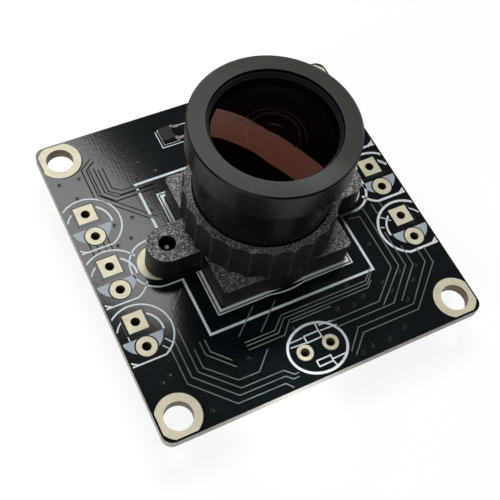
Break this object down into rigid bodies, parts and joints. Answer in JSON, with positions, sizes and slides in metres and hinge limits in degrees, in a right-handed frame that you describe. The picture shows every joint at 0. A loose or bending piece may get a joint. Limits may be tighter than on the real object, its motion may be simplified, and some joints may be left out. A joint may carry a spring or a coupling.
{
  "type": "camera module",
  "caption": "Small board camera: square circuit board with plated corner holes, moulded lens holder and a screw-in wide-angle lens that turns to focus.",
  "frame": {"origin": "middle of the four mounting holes, on the board's underside", "axes": "+Z along the optical axis towards the scene, X and Y along the board's sides, with the cable connector at the +Y edge and the lens holder's ears along X"},
  "size_m": [0.032, 0.032, 0.0202],
  "materials": {
    "board_mask": "dark solder mask, satin",
    "plated_gold": "pale gold plating",
    "printed_ink": "matt printed ink",
    "holder_plastic": "fine sand-blasted moulding",
    "screw_steel": "zinc plated",
    "filter_glass": "coated",
    "sensor_ceramic": "fired ceramic",
    "sensor_silicon": "polished",
    "clear_glass": "clear",
    "lens_glass": "coated",
    "lens_metal": "black anodised, fine satin",
    "spacer_plastic": "dull black",
    "chip_plastic": "moulded",
    "tinned_lead": "tinned",
    "can_metal": "satin",
    "capacitor_ceramic": "fired ceramic",
    "bulk_plastic": "moulded",
    "connector_plastic": "natural nylon"
  },
  "bodies": {
    "board": {"circuit_board": "board_mask", "mounting_pads": "plated_gold", "lamp_square_pads": "plated_gold", "lamp_round_pads": "plated_gold", "microphone_pads": "plated_gold", "ear_pads": "plated_gold", "silkscreen_outlines": "printed_ink", "silkscreen_fills": "printed_ink", "lens_holder": "holder_plastic", "holder_screws": "screw_steel", "infrared_filter": "filter_glass", "sensor_package": "sensor_ceramic", "sensor_die": "sensor_silicon", "sensor_window": "clear_glass", "transistor_body": "chip_plastic", "transistor_leads": "tinned_lead", "controller_body": "chip_plastic", "controller_leads": "tinned_lead", "memory_body": "chip_plastic", "memory_leads": "tinned_lead", "regulator_bodies": "chip_plastic", "regulator_leads": "tinned_lead", "crystal_base": "sensor_ceramic", "crystal_lid": "can_metal", "capacitor_bodies": "capacitor_ceramic", "capacitor_ends": "tinned_lead", "resistor_bodies": "chip_plastic", "resistor_ends": "tinned_lead", "bulk_capacitor": "bulk_plastic", "bulk_capacitor_tabs": "tinned_lead", "connector_housing": "connector_plastic", "connector_pins": "tinned_lead", "connector_tabs": "tinned_lead"},
    "glass": {"front_element": "lens_glass", "second_element": "lens_glass", "third_element": "lens_glass", "crown_element": "lens_glass", "flint_element": "lens_glass"},
    "barrel": {"lens_barrel": "lens_metal", "front_retainer": "lens_metal", "front_spacer": "spacer_plastic", "middle_spacer": "spacer_plastic", "rear_spacer": "spacer_plastic", "aperture_stop": "spacer_plastic"}
  },
  "joints": [
    {"name": "focus_travel", "type": "slide", "parent": "board", "child": "glass", "axis": [0, 0, 1], "range_m": [-0.0005, 0.0005]},
    {"name": "focus_turn", "type": "hinge", "parent": "glass", "child": "barrel", "pos_m": [0, 0, 0.0101], "axis": [0, 0, 1], "range_deg": [-360, 360]}
  ],
  "couplings": [
    {"joint": "focus_turn", "follows": "focus_travel", "rad_per_m": 12566}
  ]
}
